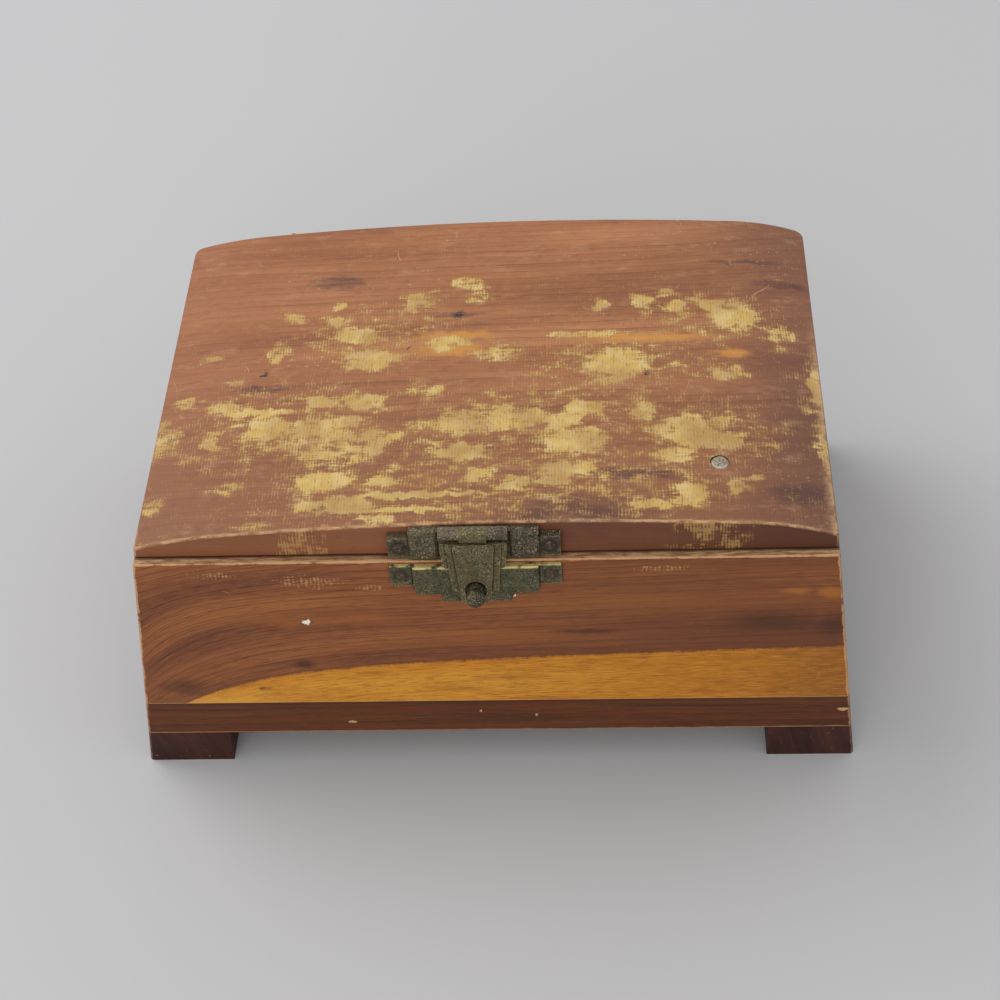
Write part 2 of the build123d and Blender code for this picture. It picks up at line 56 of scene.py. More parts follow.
class Tree:
    """A shader tree that is written from the inside: a call adds a node and gives its output."""

    def __init__(self, tree):
        self.tree = tree

    def add(self, kind, values=None, **settings):
        """Add a node, set it up, and feed its inputs with numbers or other nodes' outputs."""
        node = self.tree.nodes.new(kind)
        for name, value in settings.items():
            setattr(node, name, value)
        for name, value in (values or {}).items():
            self.feed(node.inputs[name], value)
        return node

    def feed(self, socket, value):
        if isinstance(value, bpy.types.NodeSocket):
            self.tree.links.new(value, socket)
        else:
            socket.default_value = value

    def math(self, operation, a, b=0.0, c=0.0):
        return self.add("ShaderNodeMath", {0: a, 1: b, 2: c}, operation=operation).outputs[0]

    def plus(self, a, *others):
        for b in others:
            a = self.math("ADD", a, b)
        return a

    def minus(self, a, b):
        return self.math("SUBTRACT", a, b)

    def times(self, a, *others):
        for b in others:
            a = self.math("MULTIPLY", a, b)
        return a

    def larger(self, a, *others):
        for b in others:
            a = self.math("MAXIMUM", a, b)
        return a

    def vector_math(self, operation, a, b=(0, 0, 0)):
        node = self.add("ShaderNodeVectorMath", {0: a, 1: b}, operation=operation)
        return node.outputs["Value" if operation in ("LENGTH", "DOT_PRODUCT") else "Vector"]

    def stretch(self, vector, x=1.0, y=1.0, z=1.0):
        return self.vector_math("MULTIPLY", vector, (x, y, z))

    def shift(self, vector, x=0.0, y=0.0, z=0.0):
        return self.vector_math("ADD", vector, self.join(x, y, z))

    def split(self, vector):
        return self.add("ShaderNodeSeparateXYZ", {0: vector}).outputs[:]

    def join(self, x=0.0, y=0.0, z=0.0):
        return self.add("ShaderNodeCombineXYZ", {0: x, 1: y, 2: z}).outputs[0]

    def noise(self, vector, scale=1.0, detail=2.0, roughness=0.5):
        values = {"Vector": vector, "Scale": scale, "Detail": detail, "Roughness": roughness}
        return self.add("ShaderNodeTexNoise", values).outputs["Fac"]

    def sway(self, vector, amount, scale=1.0, detail=2.0):
        """A noise that goes about as far below zero as above it."""
        return self.times(self.minus(self.noise(vector, scale, detail, 0.6), 0.5), 2 * amount)

    def cracks(self, vector):
        """The distance from the borders between cells about a unit wide."""
        values = {"Vector": vector, "Scale": 1.0}
        return self.add("ShaderNodeTexVoronoi", values, feature="DISTANCE_TO_EDGE").outputs["Distance"]

    def upward(self):
        """How far a face looks up: 1 on a level top, 0 on a side, -1 underneath."""
        return self.split(self.add("ShaderNodeTexCoord").outputs["Normal"])[2]

    def random(self, value):
        node = self.add("ShaderNodeTexWhiteNoise", noise_dimensions="1D")
        self.feed(node.inputs["W"], value)
        return node.outputs["Value"]

    def fade(self, value, low, high, to_low=0.0, to_high=1.0):
        """Ease from one level to another while a value goes from low to high."""
        values = {"Value": value, "From Min": low, "From Max": high, "To Min": to_low, "To Max": to_high}
        return self.add("ShaderNodeMapRange", values, interpolation_type="SMOOTHSTEP").outputs["Result"]

    def blend(self, share, a, b):
        """Lay colour b over colour a by a share."""
        node = self.add("ShaderNodeMix", data_type="RGBA")
        for name, value in (("Factor_Float", share), ("A_Color", a), ("B_Color", b)):
            self.feed(next(s for s in node.inputs if s.identifier == name), value)
        return next(s for s in node.outputs if s.identifier == "Result_Color")

    def group(self, tree, values=None):
        node = self.tree.nodes.new("ShaderNodeGroup")
        node.node_tree = tree
        for name, value in (values or {}).items():
            self.feed(node.inputs[name], value)
        return node.outputs


def new_effect(name, inputs, outputs):
    """A shader group with named inputs, given as name and default, and named outputs."""
    tree = bpy.data.node_groups.new(name, "ShaderNodeTree")
    for label, default in inputs.items():
        kind = "NodeSocketVector" if isinstance(default, tuple) else "NodeSocketFloat"
        tree.interface.new_socket(label, in_out="INPUT", socket_type=kind).default_value = default
    for label in outputs:
        tree.interface.new_socket(label, in_out="OUTPUT", socket_type="NodeSocketFloat")
    source = tree.nodes.new("NodeGroupInput").outputs
    target = tree.nodes.new("NodeGroupOutput").inputs
    return Tree(tree), source, target


def cedar_grain():
    """Growth lines, fibres and broad tones of a flat-sawn board. Its x runs along the grain."""
    t, source, target = new_effect(
        "cedar_grain",
        {
            "Place": (0.0, 0.0, 0.0),
            "Spacing": 2.0,
            "Left bend": 0.0,
            "Right bend": 0.0,
            "Half length": 68.0,
            "Bend length": 15.0,
            "Tilt": 0.0,
            "Drift": 3.0,
            "Seed": 0.0,
        },
        ("Across", "Lines", "Shade", "Fibres", "Tone", "Flecks"),
    )
    x, y, z = t.split(source["Place"])
    from_left = t.math("DIVIDE", t.plus(x, source["Half length"]), source["Bend length"])
    from_right = t.math("DIVIDE", t.minus(source["Half length"], x), source["Bend length"])
    left = t.times(source["Left bend"], t.math("EXPONENT", t.times(from_left, -1.0)))
    right = t.times(source["Right bend"], t.math("EXPONENT", t.times(from_right, -1.0)))
    across = t.plus(y, left, right, t.times(x, source["Tilt"]))
    seed = t.join(source["Seed"], t.times(source["Seed"], 1.7), t.times(z, 0.06))

    def along(per_x, per_across, value=across):
        return t.vector_math("ADD", t.join(t.times(x, per_x), t.times(value, per_across)), seed)

    drift = t.times(t.minus(t.noise(along(0.012, 0.05)), 0.5), source["Drift"])
    ripple = t.sway(along(0.05, 0.22), 0.35)
    crowd = t.sway(along(0.0, 0.16), 1.6)
    true_across = t.plus(across, drift, ripple)
    rings = t.math("DIVIDE", t.plus(true_across, crowd), source["Spacing"])
    part = t.math("FRACT", rings)
    own = t.random(t.math("FLOOR", rings))
    width = t.plus(0.8, t.times(own, 0.12))
    line = t.times(t.fade(part, width, 0.94), t.fade(part, 0.96, 1.0, 1.0, 0.0))
    patchy = t.fade(t.noise(along(0.045, 0.35), 1.0, 3.0, 0.6), 0.22, 0.55, 0.4, 1.0)
    t.feed(target["Lines"], t.times(line, t.plus(0.4, t.times(own, 0.6)), patchy))
    t.feed(target["Shade"], t.times(t.fade(part, 0.1, 1.0), t.fade(part, 0.96, 1.0, 1.0, 0.0), own))
    t.feed(target["Fibres"], t.noise(along(0.06, 3.2, true_across), 1.0, 4.0, 0.62))
    t.feed(target["Tone"], t.noise(along(0.012, 0.13, true_across), 1.0, 3.0, 0.55))
    t.feed(target["Flecks"], t.noise(along(0.3, 5.5, true_across), 1.0, 2.0, 0.6))
    t.feed(target["Across"], across)
    return t.tree


def worn_patch():
    """How far inside an oval patch a place lies: 1 in its middle, 0 on its edge."""
    inputs = {"Place": (0.0, 0.0, 0.0), "Centre": (0.0, 0.0, 0.0), "Size": (1.0, 1.0, 1.0)}
    t, source, target = new_effect("worn_patch", inputs, ("Depth",))
    offset = t.vector_math("SUBTRACT", source["Place"], source["Centre"])
    reach = t.vector_math("LENGTH", t.vector_math("DIVIDE", offset, source["Size"]))
    t.feed(target["Depth"], t.minus(1.0, reach))
    return t.tree


def rounded_edge():
    """Marks the rounded edges of a board, where its face turns between two of its sides."""
    inputs = {"Place": (0.0, 0.0, 0.0), "Rough": 0.6, "Scale": 0.6}
    t, source, target = new_effect("rounded_edge", inputs, ("Wear",))
    turned = t.add("ShaderNodeTexCoord").outputs["Normal"]
    x, y, z = (t.math("ABSOLUTE", part) for part in t.split(turned))
    turn = t.larger(t.times(x, y), t.times(x, z), t.times(y, z))
    ragged = t.times(t.minus(t.noise(source["Place"], source["Scale"], 4.0, 0.65), 0.5), source["Rough"])
    t.feed(target["Wear"], t.fade(t.plus(turn, ragged), 0.3, 0.44))
    return t.tree


def planer_marks():
    """Fine ridges that run across the grain, uneven in height and never quite regular."""
    inputs = {"Place": (0.0, 0.0, 0.0), "Pitch": 0.62}
    t, source, target = new_effect("planer_marks", inputs, ("Ridges", "Height"))
    x, y = t.split(source["Place"])[:2]
    turn = t.math("DIVIDE", t.times(x, 2 * math.pi), source["Pitch"])
    wave = t.math("SINE", t.plus(turn, t.sway(source["Place"], 5.0, 0.25)))
    hair = t.minus(t.noise(t.join(t.times(x, 2.7), t.times(y, 0.75)), 1.0, 3.0, 0.6), 0.5)
    own = t.minus(t.noise(t.join(x, t.times(y, 0.16), 4.0), 1.0, 2.0, 0.6), 0.5)
    t.feed(target["Ridges"], t.plus(t.times(wave, 0.3), t.times(hair, 2.2), t.times(own, 1.2)))
    t.feed(target["Height"], t.plus(t.times(wave, 0.3), t.times(hair, 0.7), 0.35))
    return t.tree


def brass_edge():
    """Marks the edges of thin metal that hands have rubbed bright, broken up by a noise."""
    inputs = {"Place": (0.0, 0.0, 0.0), "Width": 0.2, "Amount": 0.5}
    t, source, target = new_effect("brass_edge", inputs, ("Wear",))
    rounded = t.add("ShaderNodeBevel", {"Radius": t.times(source["Width"], MM)}, samples=4)
    sharp = t.add("ShaderNodeNewGeometry").outputs["Normal"]
    bend = t.minus(1.0, t.vector_math("DOT_PRODUCT", rounded.outputs[0], sharp))
    rough = t.noise(source["Place"], 1.1, 3.0, 0.65)
    level = t.plus(t.times(bend, 2.0), t.times(t.minus(rough, 0.9), t.minus(1.3, source["Amount"])))
    t.feed(target["Wear"], t.fade(level, 0.0, 0.4))
    return t.tree


def scratches():
    """Hairline scratches in all directions, gathered in some places and missing in others."""
    t, source, target = new_effect("scratches", {"Place": (0.0, 0.0, 0.0), "Amount": 0.5}, ("Mark",))
    place = source["Place"]
    bent = t.shift(place, t.sway(place, 9.0, 0.04), t.sway(place, 9.0, 0.05))
    mark = t.fade(t.cracks(t.stretch(bent, 0.05, 0.16, 0.0)), 0.0, 0.005, 1.0, 0.0)
    cross = t.fade(t.cracks(t.stretch(bent, 0.14, 0.06, 0.0)), 0.0, 0.004, 1.0, 0.0)
    limit = t.minus(0.72, t.times(source["Amount"], 0.2))
    gathered = t.fade(t.noise(place, 0.13, 3.0), limit, t.plus(limit, 0.1))
    t.feed(target["Mark"], t.times(t.larger(mark, cross), gathered))
    return t.tree


GRAIN = cedar_grain()
PATCH = worn_patch()
ROUNDED = rounded_edge()
PLANER = planer_marks()
BRASS_EDGE = brass_edge()
SCRATCHES = scratches()


def new_material(name):
    """A material, its tree, its shader and a place in millimetres on the piece."""
    made = bpy.data.materials.new(name)
    made.use_nodes = True
    t = Tree(made.node_tree)
    shader = made.node_tree.nodes["Principled BSDF"]
    place = t.stretch(t.add("ShaderNodeTexCoord").outputs["Object"], 1 / MM, 1 / MM, 1 / MM)
    return made, t, shader, place


def finish_surface(t, shader, base, roughness, height=None, depth=0.08, metallic=0.0, specular=0.2):
    """Feed a shader, with a relief whose full depth is in millimetres."""
    t.feed(shader.inputs["Base Color"], base)
    t.feed(shader.inputs["Roughness"], roughness)
    t.feed(shader.inputs["Metallic"], metallic)
    shader.inputs["Specular IOR Level"].default_value = specular
    if height is not None:
        bump = t.add("ShaderNodeBump", {"Height": height})
        bump.inputs["Distance"].default_value = depth * MM
        t.feed(shader.inputs["Normal"], bump.outputs["Normal"])


# Each kind of cedar: its light, middle and dark tones, and its growth lines
lid_cedar = (colour(172, 116, 78), colour(158, 104, 68), colour(140, 89, 58), colour(98, 54, 36))
case_cedar = (colour(156, 97, 54), colour(142, 85, 50), colour(120, 70, 45), colour(66, 34, 22))
bottom_cedar = (colour(112, 66, 36), colour(98, 55, 28), colour(80, 45, 25), colour(58, 32, 22))
feet_cedar = (colour(74, 40, 30), colour(62, 33, 26), colour(50, 26, 22), colour(40, 20, 18))
seam_dirt_and_shade_reach = 0.7  # of the dirt and painted shade round a neighbouring piece, in millimetres


def wood_colours(t, grain, cedar, lines, streaks):
    """Cedar's colour from its grain: broad tones, then rings, fibres, flecks and growth lines."""
    light, mid, dark, line = cedar
    base = t.blend(t.fade(grain["Tone"], 0.34, 0.5), dark, mid)
    base = t.blend(t.fade(grain["Tone"], 0.5, 0.64), base, light)
    base = t.blend(t.times(grain["Shade"], 0.3), base, line)
    base = t.blend(t.fade(grain["Fibres"], 0.46, 0.7, 0.0, streaks), base, line)
    base = t.blend(t.fade(grain["Fibres"], 0.44, 0.3, 0.0, 0.3), base, light)
    base = t.blend(t.fade(grain["Flecks"], 0.56, 0.68, 0.0, streaks), base, line)
    base = t.blend(t.fade(grain["Flecks"], 0.44, 0.34, 0.0, streaks), base, light)
    return t.blend(t.times(grain["Lines"], lines), base, line)


def seam_dirt_and_shade(t, surface):
    """Lay dirt and painted shade over a surface where another piece lies close to it."""
    shade = t.add("ShaderNodeAmbientOcclusion", samples=4)
    shade.inputs["Distance"].default_value = seam_dirt_and_shade_reach * MM
    return t.blend(t.fade(shade.outputs["AO"], 0.9, 0.5, 0.0, 0.7), surface, colour(40, 26, 20))


def edge_wear(t, place, rough, scale):
    return t.group(ROUNDED, {"Place": place, "Rough": rough, "Scale": scale})["Wear"]


def scratched(t, place, amount):
    return t.group(SCRATCHES, {"Place": place, "Amount": amount})["Mark"]


def patches(t, place, spots):
    """The deepest of several patches, each given as its centre and half sizes."""
    depths = [
        t.group(PATCH, {"Place": place, "Centre": (x, y, 0.0), "Size": (half_x, half_y, 1.0)})["Depth"]
        for x, y, half_x, half_y in spots
    ]
    return t.larger(*depths)


def drawn_along(t, flat, grain, reach, wave, comb):
    """A place at which patches come out drawn along the grain and combed by its fibres."""
    along = t.sway(flat, reach, 0.14, 3.0)
    across = t.plus(t.sway(flat, wave, 0.3, 3.0), t.times(t.minus(grain["Fibres"], 0.5), comb))
    return t.shift(flat, along, across)


# Bare patches on the lid: place right of the middle and behind the front edge, then half sizes
lid_patches = (
    (-42.5, 67.5, 3.0, 2.2), (-33.0, 70.5, 2.0, 1.3), (-28.0, 60.5, 4.4, 2.2), (-34.0, 65.5, 2.0, 2.2),
    (-15.5, 71.5, 3.8, 3.2), (-6.0, 76.5, 4.2, 2.8), (-2.5, 72.0, 3.6, 1.8), (23.0, 68.0, 2.0, 2.6),
    (32.0, 69.5, 3.2, 2.8), (37.0, 72.5, 2.6, 1.4), (38.5, 67.8, 2.4, 1.5), (51.0, 64.5, 4.4, 3.6),
    (46.0, 69.0, 3.2, 1.6), (60.5, 57.5, 2.6, 4.0), (-44.5, 56.0, 2.6, 3.4), (-60.0, 56.0, 3.2, 1.2),
    (-25.0, 52.5, 5.2, 3.2), (-8.0, 57.0, 5.4, 2.4), (2.0, 54.0, 5.0, 2.8), (26.0, 49.5, 5.4, 4.4),
    (48.5, 47.0, 4.2, 3.4), (19.0, 59.2, 10.0, 1.0), (-12.5, 43.0, 3.8, 2.6), (-63.0, 42.5, 3.0, 1.6),
    (-53.5, 48.0, 1.8, 1.3), (-55.0, 40.0, 3.6, 1.4), (-47.0, 37.8, 7.0, 0.9), (-25.0, 39.5, 4.2, 2.2),
    (-33.0, 40.5, 3.6, 1.5), (-45.5, 32.5, 4.0, 3.2), (-67.0, 32.0, 3.4, 6.0), (-56.5, 29.0, 1.8, 1.4),
    (-32.0, 28.0, 9.0, 6.4), (-25.0, 26.5, 5.4, 3.6), (-20.5, 29.5, 4.6, 2.2), (-6.0, 33.0, 7.4, 3.0),
    (4.5, 33.0, 6.0, 3.2), (-5.0, 24.0, 4.4, 2.2), (15.0, 33.0, 4.0, 2.0), (19.5, 36.5, 4.0, 1.5),
    (17.5, 26.5, 5.8, 3.2), (16.5, 18.5, 5.2, 2.4), (14.0, 15.5, 3.4, 1.4), (39.0, 29.5, 7.6, 4.6),
    (45.0, 27.0, 4.6, 2.6), (37.0, 22.5, 4.0, 2.4), (31.5, 35.0, 2.4, 2.4), (6.5, 15.0, 2.1, 2.1),
    (-2.0, 17.2, 2.0, 1.6), (-20.0, 16.5, 2.4, 1.5), (50.0, 13.0, 3.0, 1.4), (53.0, 15.5, 2.6, 1.2),
    (40.5, 11.0, 3.2, 2.8), (32.0, 8.6, 4.0, 1.2), (-51.0, 16.0, 3.2, 2.2), (-14.0, 12.2, 14.0, 0.7),
    (-20.0, 8.2, 12.0, 0.7), (-45.0, 5.0, 5.0, 1.0), (-20.5, 5.5, 3.4, 1.1), (-31.0, 17.0, 5.0, 2.4),
    (-28.0, 10.0, 6.0, 1.6), (67.5, 44.0, 1.6, 4.6), (67.5, 24.0, 1.4, 6.0), (-66.0, 12.0, 2.0, 2.6),
)

# Rubbed areas on the lid, where the planer marks and fibres that stand highest are bare
lid_rubbed = (
    (-26.0, 14.0, 26.0, 13.0), (-4.0, 22.0, 26.0, 15.0), (16.0, 26.0, 16.0, 16.0), (30.0, 14.0, 24.0, 12.0),
    (-24.0, 60.0, 22.0, 15.0), (-40.0, 38.0, 30.0, 12.0), (26.0, 50.0, 26.0, 13.0), (46.0, 64.0, 20.0, 12.0),
    (-52.0, 30.0, 16.0, 14.0), (14.0, 38.0, 34.0, 9.0), (48.0, 28.0, 16.0, 14.0), (66.0, 40.0, 4.0, 18.0),
    (-2.0, 12.0, 40.0, 12.0),
)

# Dark stains, orange sapwood and knots on the lid
lid_stains = (
    (-33.0, 79.0, 8.0, 2.6), (-7.0, 66.3, 9.0, 1.0), (17.0, 6.0, 19.0, 6.5), (-8.0, 2.5, 9.0, 2.4),
    (62.0, 12.0, 9.0, 4.0), (-32.0, 9.0, 3.4, 1.6), (62.0, 76.0, 8.0, 1.6),
    (54.0, 83.0, 12.0, 1.0), (30.0, 17.0, 13.0, 2.6), (-46.0, 45.0, 8.0, 1.4),
)
lid_sapwood = (
    (33.0, 58.0, 16.0, 1.7), (-8.0, 55.0, 8.0, 2.4), (50.0, 53.0, 4.6, 1.4), (-8.0, 59.5, 9.0, 1.8),
)
lid_knots = (
    (31.5, 46.5, 1.4, 1.0), (-6.5, 66.4, 1.9, 0.6), (-17.0, 56.0, 0.7, 0.5), (-45.5, 49.5, 1.0, 0.7),
)

# Bare patches on the lid's front edge
lid_face_patches = ((-36.0, 0.0, 6.0, 1.0), (44.0, 0.0, 8.0, 1.0))

# Marks on the front board: place right of the middle and over the table, then half sizes
front_light_bands = ((-34.0, 44.0, 30.0, 3.4), (30.0, 48.0, 40.0, 3.6), (4.0, 38.5, 22.0, 3.0))
front_smudges = (
    (56.0, 42.0, 15.0, 4.4), (69.0, 41.0, 6.0, 5.5), (20.0, 39.5, 10.0, 1.4), (-64.0, 24.0, 7.0, 4.0),
)
front_gold_streaks = ((68.0, 50.0, 4.6, 2.2), (60.0, 50.5, 4.0, 1.2))
front_knots = ((-38.0, 30.6, 3.2, 2.2), (-47.2, 23.3, 1.8, 0.8))
front_rubs = (
    (-35.0, 55.0, 9.0, 2.4), (-53.0, 57.0, 6.0, 1.2), (-22.0, 53.0, 4.0, 1.2), (34.0, 57.5, 8.0, 1.2),
)
front_paint_spots = ((-36.2, 43.3, 1.0, 0.75), (5.6, 50.2, 0.36, 0.22))

# Chips along the bottom board's front, placed in the same way
bottom_chips = (
    (bottom_high.x - 2.2, 14.6, 1.4, 0.6), (-30.0, 12.2, 1.0, 0.4),
    (8.5, 13.8, 0.4, 0.5), (-3.0, 15.2, 0.3, 0.4),
)


def lid_heartwood(t, x, y, flat, grain):
    """The lid's wood below its wear: dull at its ends and in front, with sapwood, stains and knots."""
    wood = wood_colours(t, grain, lid_cedar, t.fade(y, 8.0, 60.0, 0.3, 0.62), 0.35)
    left_dull = t.fade(t.plus(x, t.sway(flat, 14.0, 0.05)), 0.0, -68.0, 0.0, 0.4)
    wood = t.blend(left_dull, wood, colour(136, 80, 52))
    right_cool = t.fade(t.plus(x, t.sway(flat, 14.0, 0.05)), 20.0, 74.0, 0.0, 0.58)
    wood = t.blend(right_cool, wood, colour(112, 72, 58))
    near_right_end = t.fade(t.plus(x, t.sway(flat, 8.0, 0.1)), 44.0, 66.0)
    wood = t.blend(t.times(near_right_end, t.fade(y, 62.0, 26.0, 0.15, 0.5)), wood, colour(84, 60, 56))
    wood = t.blend(t.fade(y, 60.0, 2.0, 0.0, 0.5), wood, colour(114, 76, 56))
    drawn = drawn_along(t, flat, grain, 5.0, 1.6, 3.4)
    sap = t.fade(patches(t, drawn, lid_sapwood), -0.3, 0.8, 0.0, 0.75)
    wood = t.blend(sap, wood, colour(198, 138, 62))
    stain = t.fade(patches(t, drawn, lid_stains), -0.1, 0.7, 0.0, 0.75)
    stain = t.times(stain, t.fade(t.noise(t.stretch(flat, 0.15, 0.6), 1.0, 4.0, 0.6), 0.3, 0.6, 0.5, 1.0))
    wood = t.blend(stain, wood, colour(76, 52, 50))
    knot = t.fade(patches(t, drawn, lid_knots), 0.0, 0.6, 0.0, 0.9)
    wood = t.blend(knot, wood, colour(44, 38, 42))
    grime = t.fade(t.noise(t.stretch(flat, 0.25, 0.5), 1.0, 5.0, 0.7), 0.54, 0.72, 0.0, 0.35)
    return t.blend(grime, wood, colour(92, 62, 48))


def lid_bare_wood(t, wood, flat, ridges, fray, on_top, on_front):
    """Lay bare wood over the lid, in clumps frayed along the grain and combed across it by planer marks.

    Gives the new colour, how bare the wood is, and how rubbed it is.
    """
    clump = t.sway(t.stretch(flat, 0.24, 0.42), 1.5, 1.0, 6.0)
    torn_x = t.sway(t.shift(flat, 40.0), 4.0, 0.25, 3.0)
    torn_y = t.sway(t.shift(flat, 0.0, 60.0), 2.0, 0.25, 3.0)
    torn = t.shift(flat, torn_x, torn_y)
    spot = t.fade(patches(t, torn, lid_patches), -0.6, 0.5, 0.0, 0.95)
    rubbed = t.fade(patches(t, torn, lid_rubbed), 0.0, 0.6)
    broken = t.plus(clump, fray, t.times(ridges["Ridges"], 0.42))
    level = t.plus(spot, broken, t.times(rubbed, 0.54), -0.74)
    strength = t.fade(t.noise(flat, 0.09, 4.0), 0.4, 0.6, 0.45, 1.0)
    tanned = t.times(t.fade(level, -0.42, 0.1), on_top)
    bare = t.times(t.fade(level, -0.08, 0.42), on_top, strength)
    raised = t.fade(t.plus(ridges["Ridges"], clump), 0.15, 0.8)
    hairs = t.times(raised, t.fade(rubbed, 0.0, 0.6, 0.1, 0.62), on_top)
    face_spot = t.fade(patches(t, t.stretch(torn, 1.0, 0.0), lid_face_patches), -0.2, 0.6, 0.0, 0.7)
    face_level = t.plus(face_spot, t.times(broken, 1.3), t.times(ridges["Ridges"], 0.15), -0.5)
    on_face = t.times(t.fade(face_level, 0.0, 0.6), on_front, t.fade(face_spot, 0.0, 0.3))

    # Tanned wood is olive brown, bare wood straw coloured
    pale = t.blend(t.fade(t.noise(flat, 0.3, 3.0), 0.4, 0.62), colour(196, 164, 94), colour(204, 178, 118))
    pale = t.blend(t.fade(ridges["Ridges"], -0.1, -0.7, 0.0, 0.55), pale, colour(146, 106, 62))
    surface = t.blend(hairs, wood, colour(186, 146, 100))
    surface = t.blend(t.times(tanned, 0.6), surface, colour(158, 120, 68))
    surface = t.blend(t.times(bare, 0.92), surface, pale)
    surface = t.blend(t.times(on_face, 0.7), surface, colour(176, 138, 84))
    return surface, bare, rubbed


def lid_scuffs(t, surface, flat, on_top):
    """Lay pale specks, dull scuffs and hairline scratches over the lid's top."""
    specks = t.fade(t.noise(t.stretch(flat, 0.8, 1.6), 1.0, 4.0, 0.6), 0.64, 0.7)
    specks = t.times(specks, t.fade(t.noise(t.shift(flat, 9.0), 0.05), 0.45, 0.6, 0.0, 0.6), on_top)
    surface = t.blend(specks, surface, colour(206, 176, 138))
    scuff = t.fade(t.noise(t.stretch(flat, 0.12, 0.3), 1.0, 5.0, 0.7), 0.54, 0.7, 0.0, 0.25)
    surface = t.blend(t.times(scuff, on_top), surface, colour(190, 150, 120))
    return t.blend(t.times(scratched(t, flat, 0.75), 0.5, on_top), surface, colour(216, 180, 142))


def lid_edges(t, x, y, flat, fray, on_top):
    """The lid's front edge, rubbed bare in a thin ragged line, and its right end, in a wider one."""
    side = t.sway(flat, 0.8, 0.3, 4.0)
    patchy = t.fade(t.noise(flat, 0.3, 4.0, 0.65), 0.38, 0.62, 0.15, 1.0)
    front_edge = t.fade(t.plus(y, side, t.times(fray, 0.8)), 0.2, 0.8, 0.85, 0.0)
    right_gap = t.plus(t.minus(lid_high.x, x), t.times(side, 2.4), t.times(fray, 1.4))
    right_edge = t.times(t.fade(right_gap, 0.4, 2.8, 0.8, 0.0), t.fade(y, 70.0, 44.0))
    rim = t.times(edge_wear(t, flat, 0.6, 0.5), t.fade(y, 8.0, 1.0))
    return t.times(t.larger(t.times(on_top, t.larger(front_edge, right_edge)), t.times(rim, 0.6)), patchy)


def cedar_lid_material():
    made, t, shader, place = new_material("cedar_lid_worn")
    x, y, z = t.split(t.shift(place, 0.0, -lid_low.y, -seam))
    flat = t.join(x, t.plus(y, t.times(z, 0.5)))
    grain = t.group(
        GRAIN,
        {
            "Place": flat,
            "Spacing": 2.3,
            "Left bend": -1.2,
            "Right bend": t.fade(y, 0.0, 94.0, -2.0, -7.0),
            "Bend length": 24.0,
            "Drift": 4.0,
            "Seed": 3.1,
        },
    )
    up = t.upward()
    on_top = t.fade(up, 0.55, 0.8)
    on_front = t.times(t.minus(1.0, on_top), t.fade(y, 3.0, 1.0), t.fade(up, -0.7, -0.4))
    wood = lid_heartwood(t, x, y, flat, grain)
    wood = t.blend(t.times(t.minus(1.0, on_top), 0.4), wood, colour(132, 76, 48))
    wood = t.blend(t.times(on_front, t.fade(x, -20.0, 66.0, 0.0, 0.75)), wood, colour(70, 40, 30))
    ridges = t.group(PLANER, {"Place": flat})
    fray = t.sway(t.stretch(flat, 0.28, 2.4), 0.7, 1.0, 3.0)
    surface, bare, rubbed = lid_bare_wood(t, wood, flat, ridges, fray, on_top, on_front)
    surface = lid_scuffs(t, surface, flat, on_top)
    surface = t.blend(lid_edges(t, x, y, flat, fray, on_top), surface, colour(208, 170, 124))
    # Painted shadow in the gap along the foot of the lid's front face, just above the seam with the case
    surface = t.blend(t.times(t.fade(z, 0.45, 0.1, 0.0, 0.85), on_front), surface, colour(38, 22, 16))
    # Dirt and painted shade where another piece lies close
    surface = seam_dirt_and_shade(t, surface)
    roughness = t.fade(bare, 0.0, 1.0, 0.46, 0.75)
    marked = t.times(ridges["Height"], t.fade(rubbed, 0.0, 1.0, 0.1, 0.35))
    relief = t.plus(t.times(grain["Fibres"], 0.3), marked, t.times(bare, -0.4))
    finish_surface(t, shader, surface, roughness, relief, 0.1)
    return made


def front_heartwood(t, x, grain, drawn):
    """The front board's red wood, darker to the right, with lighter bands and dark smudges."""
    wood = wood_colours(t, grain, case_cedar, 0.8, 0.5)
    band = t.fade(patches(t, drawn, front_light_bands), 0.0, 0.8, 0.0, 0.4)
    wood = t.blend(band, wood, colour(162, 98, 48))
    wood = t.blend(t.fade(x, -40.0, 40.0, 0.0, 0.42), wood, colour(104, 60, 36))
    dusky = t.times(t.fade(x, 0.0, 62.0), t.fade(grain["Across"], 43.0, 36.0))
    wood = t.blend(t.times(dusky, 0.5), wood, colour(88, 50, 36))
    smudges = t.fade(patches(t, drawn, front_smudges), 0.0, 0.9, 0.0, 0.6)
    return t.blend(smudges, wood, colour(62, 38, 30))


def front_sapwood(t, x, z, flat, grain):
    """The front board's yellow wood, palest in its left tip and duller to the right."""
    sap = t.blend(t.fade(grain["Tone"], 0.38, 0.62), colour(196, 128, 34), colour(208, 144, 48))
    sap = t.blend(t.fade(x, -20.0, 68.0), sap, colour(178, 112, 32))
    right_end = t.fade(t.plus(x, t.sway(flat, 6.0, 0.2)), 50.0, 68.0, 0.0, 0.75)
    sap = t.blend(right_end, sap, colour(138, 86, 34))
    sap = t.blend(t.fade(grain["Fibres"], 0.5, 0.72, 0.0, 0.4), sap, colour(146, 86, 30))
    sap = t.blend(t.fade(grain["Flecks"], 0.55, 0.67, 0.0, 0.7), sap, colour(118, 68, 28))
    sap = t.blend(t.fade(grain["Flecks"], 0.46, 0.34, 0.0, 0.4), sap, colour(224, 158, 62))
    smoky = t.fade(t.noise(t.stretch(flat, 0.06, 0.3), 1.0, 4.0, 0.65), 0.48, 0.68, 0.0, 0.5)
    sap = t.blend(smoky, sap, colour(150, 88, 30))
    sap = t.blend(t.times(grain["Lines"], 0.35), sap, colour(140, 84, 34))
    tip = t.times(t.fade(z, front_low.z + 1.0, front_low.z + 6.0, 1.0, 0.0), t.fade(x, -30.0, -60.0), 0.45)
    return t.blend(tip, sap, colour(218, 158, 66))


